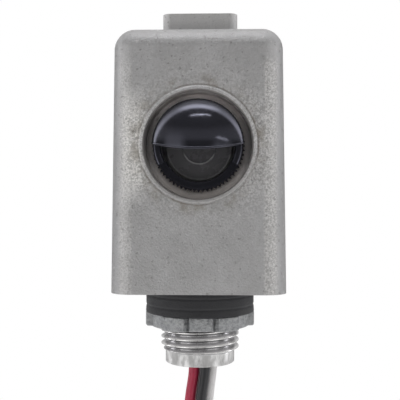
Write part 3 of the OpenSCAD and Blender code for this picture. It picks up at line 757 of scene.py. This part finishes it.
def barrel_wall():
    """The barrel's wall with its two legs."""
    outer = VISOR_R - SINK
    inner = VISOR_R - LEG_W
    foot = RIM_FRONT - LEG_SINK
    top = BARREL_TOP - SINK
    profile = soften([(inner, foot, 0), (outer, foot, 0), (outer, top, 0.8), (inner, top, 0.6)], 8)
    return lathe(profile, 96, -LEG_ANGLE, 180 + 2 * LEG_ANGLE)


def rim_and_hub():
    """The plain disc that carries the teeth, and the hub behind it."""
    root = RIM_D / 2 - TOOTH_H
    corners = [
        (HUB_BORE_R, HUB_END, 0), (HUB_R, HUB_END, 0.2), (HUB_R, RIM_BACK, 0), (root, RIM_BACK, 0.1),
        (root, RIM_FRONT, 0.15), (HUB_BORE_R, RIM_FRONT, 0.25),
    ]
    return lathe(soften(corners), 128)


shapes = [dome_shell(), lip_bead(lip_path()), barrel_wall(), rim_and_hub()]
hood = mesh_piece("selector_hood_moulding", shapes, AT_EYE, 40)

# %% Geometry Nodes helpers
def new_tree(name, **inputs):
    """Empty geometry tree with inputs listed by kind, a material and one geometry output."""
    tree = bpy.data.node_groups.new(name, "GeometryNodeTree")
    sockets(tree, "OUTPUT", "Geometry", "Geometry")
    for kind, labels in inputs.items():
        sockets(tree, "INPUT", kind, *labels)
    sockets(tree, "INPUT", "Material", "Material")
    return tree, add(tree, "NodeGroupInput").outputs


def end_tree(geometry, material):
    """Close a geometry's tree with Realize Instances and Set Material."""
    tree = geometry.id_data
    real = put(tree, "GeometryNodeRealizeInstances", {0: geometry})
    painted = put(tree, "GeometryNodeSetMaterial", {"Geometry": real, "Material": material})
    add(tree, "NodeGroupOutput", {"Geometry": painted})


def run_modifiers(piece):
    """Turn what an object's modifiers make into its plain mesh."""
    graph = bpy.context.evaluated_depsgraph_get()
    mesh = bpy.data.meshes.new_from_object(piece.evaluated_get(graph))
    piece.modifiers.clear()
    piece.data = mesh


def grow(tree, name, values):
    """Mesh object made by a tree from some values."""
    holder = new_object(name, bpy.data.meshes.new(name))
    modifier = holder.modifiers.new(name, "NODES")
    modifier.node_group = tree
    for item in tree.interface.items_tree:
        if item.in_out == "INPUT":
            modifier[item.identifier] = values[item.name]
    run_modifiers(holder)
    print(name, len(holder.data.polygons), "faces from nodes")
    return holder


def ring_of(points, instance, count):
    """Copies on points, each turned one share of a full turn further."""
    tree = points.id_data
    index = put(tree, "GeometryNodeInputIndex")
    angle = product(calc("DIVIDE", index, count), 2 * math.pi)
    turn = put(tree, "ShaderNodeCombineXYZ", {"Z": angle})
    rotation = put(tree, "FunctionNodeEulerToRotation", {0: turn})
    placed = {"Points": points, "Instance": instance, "Rotation": rotation}
    return put(tree, "GeometryNodeInstanceOnPoints", placed)


# %% Knurled teeth with Geometry Nodes
def teeth_tree():
    """Triangular prisms round a circle, points outwards."""
    tree, given = new_tree("knurled_teeth", Int=["Teeth"], Float=["Circle", "Tooth", "Depth"])
    circle_sizes = {"Vertices": given["Teeth"], "Radius": given["Circle"]}
    circle = put(tree, "GeometryNodeMeshCircle", circle_sizes)
    prism_sizes = {"Vertices": 3, "Radius": given["Tooth"], "Depth": given["Depth"]}
    prism = put(tree, "GeometryNodeMeshCylinder", prism_sizes)
    end_tree(ring_of(circle, prism, given["Teeth"]), given["Material"])
    return tree


def join_pieces(target, other):
    """Add another mesh object to a target and remove it."""
    bm = bmesh.new()
    bm.from_mesh(target.data)
    bm.from_mesh(other.data)
    bpy.data.objects.remove(other)
    bm.to_mesh(target.data)
    bm.free()


TOOTH_R = 0.62
teeth = grow(teeth_tree(), "knurl", {
    "Teeth": TOOTH_COUNT, "Circle": RIM_D / 2 - TOOTH_R, "Tooth": TOOTH_R, "Depth": RIM_T - 2 * SINK,
    "Material": gloss_black})
rim_middle = Matrix.Translation((0, 0, RIM_BACK + RIM_T / 2))
teeth.data.transform(Matrix.Scale(MM, 4) @ AT_EYE @ rim_middle)
join_pieces(hood, teeth)
break_edges(hood, "rounded_lip", LIP_ROUNDING, LIP_ANGLE)
seat(hood, "selector", "black_gloss", gloss_black, "selector_hood")

# %% [markdown]
# ## Lens
# Deep behind the hood a smoked window closes the eye. It is turned: a flat front with a softened edge and
# a thin raised ring left by the mould.

# %% Lens
LENS_R = 8.9
LENS_FRONT = -10.4
LENS_T = 1.6
LENS_SKIRT = 1.2
LENS_RING_R = 4.3
LENS_FLANGE_R = 15.2
FLANGE_FRONT = -11.4
FLANGE_BACK = -13.0
lens_corners = [
    (0, LENS_FRONT - LENS_T, 0), (LENS_R - LENS_SKIRT, LENS_FRONT - LENS_T, 0),
    (LENS_R - LENS_SKIRT, FLANGE_BACK, 0),
    (LENS_FLANGE_R, FLANGE_BACK, 0.2), (LENS_FLANGE_R, FLANGE_FRONT, 0.2), (LENS_R, FLANGE_FRONT, 0),
    (LENS_R, LENS_FRONT, 0.35), (LENS_RING_R + 0.4, LENS_FRONT, 0.12), (LENS_RING_R, LENS_FRONT + 0.3, 0.12),
    (LENS_RING_R - 0.4, LENS_FRONT, 0.12), (0, LENS_FRONT, 0),
]
window = mesh_piece("smoked_window", [lathe(soften(lens_corners))], AT_EYE)
seat(window, "case", "dark_lens", lens_smoke, "lens")

# %% [markdown]
# ## Threaded stem
# The stem carries a standard conduit thread: 14 turns to the inch, right-handed. A thread follows a rule,
# so nodes bend a flat grid round the axis and push each point out by how near it lies to the helix. The
# grid's two end rows land on the turned parts above and below, so the stem closes into one skin.

# %% Stem sizes and the turned part
THREAD_R = 10.67
THREAD_ROOT_R = 9.46
THREAD_L = 6.8
PITCH = 25.4 / 14
COLLAR_R = 9.45
STEM_END = -10.1
BORE_R = 7.9
ENGAGED_R = 10.4
BASE_TOP = 13.1
STEM_FLANGE_R = 12.1
STEM_FLANGE_TOP = 15.1
STEM_SEGMENTS = 160
THREAD_ROWS = 121


def turned_stem():
    """Everything on the stem except the thread's own skin, which stays open."""
    corners = [
        (COLLAR_R, -THREAD_L, 0), (COLLAR_R, STEM_END, 0.3), (BORE_R, STEM_END, 0.3),
        (BORE_R, STEM_FLANGE_TOP, 0.2), (STEM_FLANGE_R, STEM_FLANGE_TOP, 0.2), (STEM_FLANGE_R, BASE_TOP, 0.1),
        (ENGAGED_R, BASE_TOP, 0), (ENGAGED_R, 0, 0),
    ]
    bm = lathe(soften(corners), STEM_SEGMENTS)
    gap = []
    for face in bm.faces:
        middle = face.calc_center_median()
        if abs(middle.z + THREAD_L / 2) < 0.1 and middle.xy.length > BORE_R + 0.5:
            gap.append(face)
    bmesh.ops.delete(bm, geom=gap, context="FACES_ONLY")
    return bm


# %% Thread with Geometry Nodes
def thread_tree():
    """A grid wound round Z whose radius swells along a helix."""
    radii = ["Root", "Crest", "Foot", "Top"]
    tree, given = new_tree("conduit_thread", Float=radii + ["Pitch", "Length"], Int=["Columns", "Rows"])
    flat = {"Size X": 1.0, "Size Y": 1.0, "Vertices Y": given["Rows"]}
    flat["Vertices X"] = calc("ADD", given["Columns"], 1)
    grid = put(tree, "GeometryNodeMeshGrid", flat)
    spot = split(put(tree, "GeometryNodeInputPosition"))
    around = calc("ADD", spot["X"], 0.5)
    along = calc("ADD", spot["Y"], 0.5)
    height = product(along, given["Length"])
    turns = calc("SUBTRACT", calc("DIVIDE", height, given["Pitch"]), around)
    swell = remap(calc("PINGPONG", turns, 0.5), 0.05, 0.44, kind="LINEAR")
    runout = remap(height, 0.0, product(given["Pitch"], 0.35))
    depth = calc("SUBTRACT", given["Crest"], given["Root"])
    body = calc("ADD", given["Root"], product(swell, runout, depth))
    for side, row, label in (("LESS_THAN", 0.0001, "Foot"), ("GREATER_THAN", 0.9999, "Top")):
        ends = {"Factor": calc(side, along, row), 2: body, 3: given[label]}
        body = put(tree, "ShaderNodeMix", ends)
    angle = product(around, 2 * math.pi)
    wound = put(tree, "ShaderNodeCombineXYZ", {
        "X": product(body, calc("COSINE", angle)),
        "Y": product(body, calc("SINE", angle)), "Z": height})
    bent = put(tree, "GeometryNodeSetPosition", {"Geometry": grid, "Position": wound})
    closed = put(tree, "GeometryNodeMergeByDistance", {"Geometry": bent, "Distance": JOIN_DISTANCE * MM})
    end_tree(closed, given["Material"])
    return tree


thread = grow(thread_tree(), "thread", {
    "Root": THREAD_ROOT_R * MM, "Crest": THREAD_R * MM, "Foot": COLLAR_R * MM, "Top": ENGAGED_R * MM,
    "Pitch": PITCH * MM, "Length": THREAD_L * MM, "Columns": STEM_SEGMENTS, "Rows": THREAD_ROWS,
    "Material": bright_zinc})
thread.data.transform(Matrix.Translation((0, 0, -THREAD_L * MM)))
stem = mesh_piece("threaded_stem", [turned_stem()])
join_pieces(stem, thread)
skin = bmesh.new()
skin.from_mesh(stem.data)
bmesh.ops.remove_doubles(skin, verts=skin.verts, dist=2 * JOIN_DISTANCE * MM)
smooth_by_angle(skin, 50)
print("stem open edges:", sum(e.is_boundary for e in skin.edges))
skin.to_mesh(stem.data)
skin.free()
seat(stem, "case", "bright_zinc", bright_zinc, "conduit_stem")

# %% [markdown]
# ## Gasket and locknut
# A black rubber gasket with two shallow grooves sits under the box, and a notched zinc nut draws it tight.
# Both are spun. The nut's outside is then pushed in wherever its angle falls in a notch, which gives the
# lugs sloped ends and a relieved root beside them: a plain cut would leave knife sharp steps.

# %% Gasket
NUT_T = 3.7
GASKET_T = 6.9
GASKET_R = 14.9
GROOVE = 0.25


def gasket_profile():
    """Rubber ring with two grooves, each a share of the way up."""
    corners = [(ENGAGED_R + 0.1, NUT_T, 0), (GASKET_R, NUT_T, 0.3)]
    for share in (0.3, 0.7):
        z = NUT_T + share * GASKET_T
        lip = GASKET_R - 0.1
        corners += [(lip, z - 0.5, 0.4), (GASKET_R - GROOVE, z, 0.2), (lip, z + 0.5, 0.4)]
    corners += [(GASKET_R - 0.2, NUT_T + GASKET_T, 0.4), (ENGAGED_R + 0.1, NUT_T + GASKET_T, 0)]
    return soften(corners)


gasket = mesh_piece("rubber_gasket", [lathe(gasket_profile())])
seat(gasket, "case", "black_rubber", rubber, "stem_gasket")

# %% Locknut
NUT_R = 14.9
NUT_LUGS = 6
NUT_NOTCH = 1.2
NOTCH_ANGLE = 33
NOTCH_SLOPE = 2.5
NOTCH_RELIEF = 0.4
NUT_TURN = 3


def notch_share(angle):
    """How deep in a notch an angle in degrees lies: 0 on a lug, 1 in a notch, more beside a lug's end."""
    period = 360 / NUT_LUGS
    off = abs((angle + 90 - NUT_TURN + period / 2) % period - period / 2)
    inward = (NOTCH_ANGLE / 2 + NOTCH_SLOPE / 2 - off) / NOTCH_SLOPE
    if inward < 1:
        return max(inward, 0) * (1 + NOTCH_RELIEF)
    return 1 + NOTCH_RELIEF * max(2 - inward, 0)


def notched_ring():
    """A spun nut whose outer wall steps in at each notch."""
    bore = ENGAGED_R + 0.1
    corners = [(bore, 0, 0.4), (NUT_R, 0, 0.45), (NUT_R, NUT_T, 0.3), (bore, NUT_T, 0)]
    bm = lathe(soften(corners), 360)
    for vert in bm.verts:
        reach = vert.co.xy.length
        if reach > NUT_R - NUT_NOTCH:
            depth = NUT_NOTCH * notch_share(math.degrees(math.atan2(vert.co.y, vert.co.x)))
            vert.co.xy *= (reach - depth) / reach
    return bm


nut = mesh_piece("notched_locknut", [notched_ring()], sharp=30)
seat(nut, "case", "nut_zinc", nut_zinc, "locknut")

# %% [markdown]
# ## Base screws
# Four countersunk screws hold the base plate. One head with a cross recess is modelled, and a tree sets
# it at the corners of a rectangle.

# %% Base screws with Geometry Nodes
SCREW_X = 17.6
SCREW_Y = 12.9
SCREW_R = 1.5
SCREW_HEAD_R = 2.85
SCREW_BASE = 10.6
SCREW_TIP = 21.1
CROSS_ARM = 1.5
CROSS_HALF = 0.35
CROSS_DEPTH = 0.9


def screw_shape():
    """A countersunk screw pointing up."""
    rise = SCREW_HEAD_R - SCREW_R
    corners = [
        (0, 0, 0), (SCREW_HEAD_R, 0, 0.1), (SCREW_R, rise, 0.2),
        (SCREW_R, SCREW_TIP - SCREW_BASE, 0.4), (0, SCREW_TIP - SCREW_BASE, 0),
    ]
    return lathe(soften(corners), 48)


def cross_shape():
    """The cutter for the head's cross recess."""
    bm = bmesh.new()
    quarter = [(CROSS_ARM, -CROSS_HALF), (CROSS_ARM, CROSS_HALF), (CROSS_HALF, CROSS_HALF)]
    outline = []
    for _ in range(4):
        outline += quarter
        quarter = [(-y, x) for x, y in quarter]
    face = bm.faces.new([bm.verts.new((x, y, -1)) for x, y in outline])
    grown = bmesh.ops.extrude_face_region(bm, geom=[face])
    risen = [v for v in grown["geom"] if isinstance(v, bmesh.types.BMVert)]
    bmesh.ops.translate(bm, verts=risen, vec=(0, 0, 1 + CROSS_DEPTH))
    bmesh.ops.recalc_face_normals(bm, faces=bm.faces)
    return bm


def screws_tree():
    """A source object at the four corners of a rectangle."""
    tree, given = new_tree("corner_screws", Object=["Screw"], Float=["Span X", "Span Y", "Height"])
    corners = {"Size X": given["Span X"], "Size Y": given["Span Y"], "Vertices X": 2, "Vertices Y": 2}
    grid = put(tree, "GeometryNodeMeshGrid", corners)
    lift = put(tree, "ShaderNodeCombineXYZ", {"Z": given["Height"]})
    raised = put(tree, "GeometryNodeSetPosition", {"Geometry": grid, "Offset": lift})
    source = add(tree, "GeometryNodeObjectInfo", {"Object": given["Screw"]}).outputs["Geometry"]
    placed = {"Points": raised, "Instance": source}
    end_tree(put(tree, "GeometryNodeInstanceOnPoints", placed), given["Material"])
    return tree


one_screw = mesh_piece("one_screw", [screw_shape()])
cutter = mesh_piece("cross_cutter", [cross_shape()])
recess = one_screw.modifiers.new("recess", "BOOLEAN")
recess.object = cutter
recess.solver = "EXACT"
run_modifiers(one_screw)
screws = grow(screws_tree(), "corner_screws", {
    "Screw": one_screw, "Span X": 2 * SCREW_X * MM, "Span Y": 2 * SCREW_Y * MM,
    "Height": SCREW_BASE * MM, "Material": plated_steel})
bpy.data.objects.remove(one_screw)
bpy.data.objects.remove(cutter)
seat(screws, "case", "plated_steel", plated_steel, "base_screws")

# %% [markdown]
# ## Copper ends
# Each lead is stripped at its end, and the copper is a bundle of strands. Six strands are helices round a
# straight seventh, and a tree sweeps a small circle along all of them.

# %% Copper strands with Geometry Nodes
BARE_L = 12
OUTER_STRANDS = 6
STRAND_R = 0.21
STRAND_SPACING = 2.04
STRAND_TURNS = 1.6


def strands_tree():
    """Six helices round one straight strand, hanging from a place."""
    tree, given = new_tree("copper_strands", Vector=["Place"], Float=["Strand", "Length", "Turns"])
    offset = product(given["Strand"], STRAND_SPACING)
    coil = {"Resolution": 24, "Rotations": given["Turns"], "Start Radius": offset, "End Radius": offset}
    coil["Height"] = given["Length"]
    helix = put(tree, "GeometryNodeCurveSpiral", coil)
    top = put(tree, "ShaderNodeCombineXYZ", {"Z": given["Length"]})
    core = put(tree, "GeometryNodeCurvePrimitiveLine", {"End": top})
    points = put(tree, "GeometryNodePoints", {"Count": OUTER_STRANDS})
    bundle = add(tree, "GeometryNodeJoinGeometry")
    for curves in (ring_of(points, helix, OUTER_STRANDS), core):
        tree.links.new(curves, bundle.inputs[0])
    lines = put(tree, "GeometryNodeRealizeInstances", {0: bundle.outputs[0]})
    section = {"Resolution": 10, "Radius": given["Strand"]}
    circle = put(tree, "GeometryNodeCurvePrimitiveCircle", section)
    swept = {"Curve": lines, "Profile Curve": circle, "Fill Caps": True}
    wires = put(tree, "GeometryNodeCurveToMesh", swept)
    hung = put(tree, "GeometryNodeSetPosition", {"Geometry": wires, "Offset": given["Place"]})
    end_tree(hung, given["Material"])
    return tree


copper_tree = strands_tree()
strands = {}
for name, route in LEAD_ROUTES.items():
    end = Vector(route[-1]) - Vector((0, 0, BARE_L))
    strands[name] = grow(copper_tree, "strands_of_" + name, {
        "Place": end * MM, "Strand": STRAND_R * MM, "Length": BARE_L * MM, "Turns": STRAND_TURNS,
        "Material": copper})
    seat(strands[name], "case", "copper", copper, "bare_conductors")

PLASTICS = {
    "red_lead": ("red_insulation", red_plastic),
    "black_lead": ("black_insulation", black_plastic),
    "white_lead": ("white_insulation", white_plastic),
}
for name, lead in leads.items():
    slot, plastic = PLASTICS[name]
    seat(lead, "case", slot, plastic, name)

# %% [markdown]
# ## Inner pieces
# The rest of the solids keep their shapes. They hide inside the box, but each still gets the finish of
# the stuff that it is made of.

# %% Finishes of the remaining solids
SOLID_FINISH = {
    zinc: ["base_plate"],
    rubber: ["base_gasket", "lead_seal", "lens_seal"],
    plated_steel: ["selector_clip", "cell_pins", "contact_arm"],
    board_brown: ["cell_holder", "chassis_board", "heater_resistor"],
    ceramic: ["photocell"],
    brass: ["board_rivets", "arm_bracket", "calibration_screw", "line_terminal", "load_terminal",
            "neutral_terminal"],
    silver: ["moving_contact", "fixed_contact"],
}
for material, names in SOLID_FINISH.items():
    for name in names:
        nodes[name].data.materials.clear()
        nodes[name].data.materials.append(material)
print("solids with a new finish:", sum(len(names) for names in SOLID_FINISH.values()))

# %% [markdown]
# ## Studio
# The box is shot in a white tent. Metal and gloss show what they face, so the surroundings are part of
# the finish. The world is plain white to the camera only. To every other ray its front half is a grey ramp
# over height, dark at the camera's own level, with a soft glow low on each side that lights the rounded
# edges. Its back half is pale, and a bright ring where the halves meet, brightest overhead, draws the arc
# on the hood. Two narrow lamps add the small glints on the dome. The floor is white to the camera too.

# %% World
FRONT_RAMP = [
    (0.0, 0.47), (0.36, 0.47), (0.43, 0.25), (0.49, 0.12), (0.56, 0.12), (0.62, 0.45), (0.72, 0.42),
    (0.8, 0.18), (1.0, 0.25),
]
SIDE_GLOW = 1.6
HALO_TINT = (1.0, 1.0, 1.03)
HALO_TOP = 5.4
HALO_SHOULDER = 2.0
HALO_SIDE = 3.0
HALO_LEAN = 0.31
WHITE = rgb(1, 1, 1)


def studio_world():
    """White to the camera; to other rays a grey front with side glows, a bright ring and a pale back."""
    world = bpy.data.worlds.new("studio")
    tree = empty_tree(world)
    parts = split(add(tree, "ShaderNodeTexCoord").outputs["Generated"])
    level = remap(parts["Z"], -1.0, 1.0, kind="LINEAR")
    ramp = add(tree, "ShaderNodeValToRGB", {0: level})
    stops = ramp.color_ramp.elements
    while len(stops) < len(FRONT_RAMP):
        stops.new(0.5)
    for stop, (place, grey) in zip(stops, FRONT_RAMP):
        stop.position = place
        stop.color = rgb(grey, grey, grey)
    lean = calc("MULTIPLY_ADD", parts["Z"], HALO_LEAN, parts["Y"])
    behind = remap(parts["Z"], 0.0, 0.9, 0.5, 1.0)
    overhead = remap(parts["Z"], 0.82, 1.0, HALO_SHOULDER, HALO_TOP)
    beside = remap(parts["Z"], 0.78, 0.35, HALO_SHOULDER, HALO_SIDE)
    ring = mix(1.0, calc("MAXIMUM", overhead, beside), rgb(*HALO_TINT), "MULTIPLY")
    halo = mix(remap(lean, 0.17, 0.31), ring, behind)
    ahead = calc("MAXIMUM", product(parts["Y"], -1), 0.05)
    aside = calc("DIVIDE", parts["X"], ahead)
    left = product(band(aside, -3.0, -1.5, -0.8, -0.35), remap(parts["Z"], 0.55, -0.4))
    right = product(band(aside, 3.0, 1.5, 0.8, 0.35), remap(parts["Z"], 0.3, -0.4))
    glow = product(calc("ADD", left, right), SIDE_GLOW)
    front = mix(1.0, ramp.outputs[0], glow, "ADD")
    tent = mix(remap(lean, 0.02, 0.13), front, halo)
    camera_ray = add(tree, "ShaderNodeLightPath").outputs["Is Camera Ray"]
    colour = mix(camera_ray, tent, WHITE)
    background = put(tree, "ShaderNodeBackground", {"Color": colour})
    add(tree, "ShaderNodeOutputWorld", {"Surface": background})
    bpy.context.scene.world = world
    print("world nodes:", len(tree.nodes))


studio_world()

# %% Lamps and floor
LAMP_AIM = (0, 0, 0.04)
FLOOR_HALF = 0.45
FLOOR_GAP = 0.004


def softbox(name, place, size, power, turn=0.0):
    """Oval light at a place, facing the box and turned about its own axis by some degrees."""
    light = bpy.data.lights.new(name, "AREA")
    light.shape = "ELLIPSE"
    light.size, light.size_y = size
    light.energy = power
    lamp = new_object(name, light)
    lamp.location = place
    aim = (Vector(LAMP_AIM) - Vector(place)).to_track_quat("-Z", "Y").to_matrix()
    lamp.rotation_euler = (aim @ Matrix.Rotation(math.radians(turn), 3, "Z")).to_euler()


def studio_floor(z):
    """Pale floor under the hanging leads, white to the camera, taking a shadow and clear from below."""
    mesh = bpy.data.meshes.new("floor")
    signs = ((-1, -1), (1, -1), (1, 1), (-1, 1))
    mesh.from_pydata([(x * FLOOR_HALF, y * FLOOR_HALF, z) for x, y in signs], [], [(0, 1, 2, 3)])
    material = bpy.data.materials.new("pale_floor")
    tree = empty_tree(material)
    matte = put(tree, "ShaderNodeBsdfDiffuse", {"Color": rgb(0.8, 0.8, 0.8)})
    white = put(tree, "ShaderNodeEmission", {"Color": WHITE, "Strength": 1.1})
    path = add(tree, "ShaderNodeLightPath").outputs
    mirrored = product(path["Is Glossy Ray"], 0.8)
    share = product(calc("MAXIMUM", path["Is Camera Ray"], mirrored), 0.8)
    both = put(tree, "ShaderNodeMixShader", {0: share, 1: matte, 2: white})
    underside = add(tree, "ShaderNodeNewGeometry").outputs["Backfacing"]
    clear = put(tree, "ShaderNodeBsdfTransparent")
    one_sided = put(tree, "ShaderNodeMixShader", {0: underside, 1: both, 2: clear})
    add(tree, "ShaderNodeOutputMaterial", {"Surface": one_sided})
    mesh.materials.append(material)
    floor = new_object("floor", mesh)


softbox("front_strip", (0.03, -0.29, 0.55), (0.36, 0.02), 0.22)
softbox("right_strip", (0.373, -0.361, 0.162), (0.25, 0.042), 0.06, -13.0)
studio_floor(cad_box[0].z - FLOOR_GAP)
bpy.context.scene.view_settings.view_transform = "Standard"
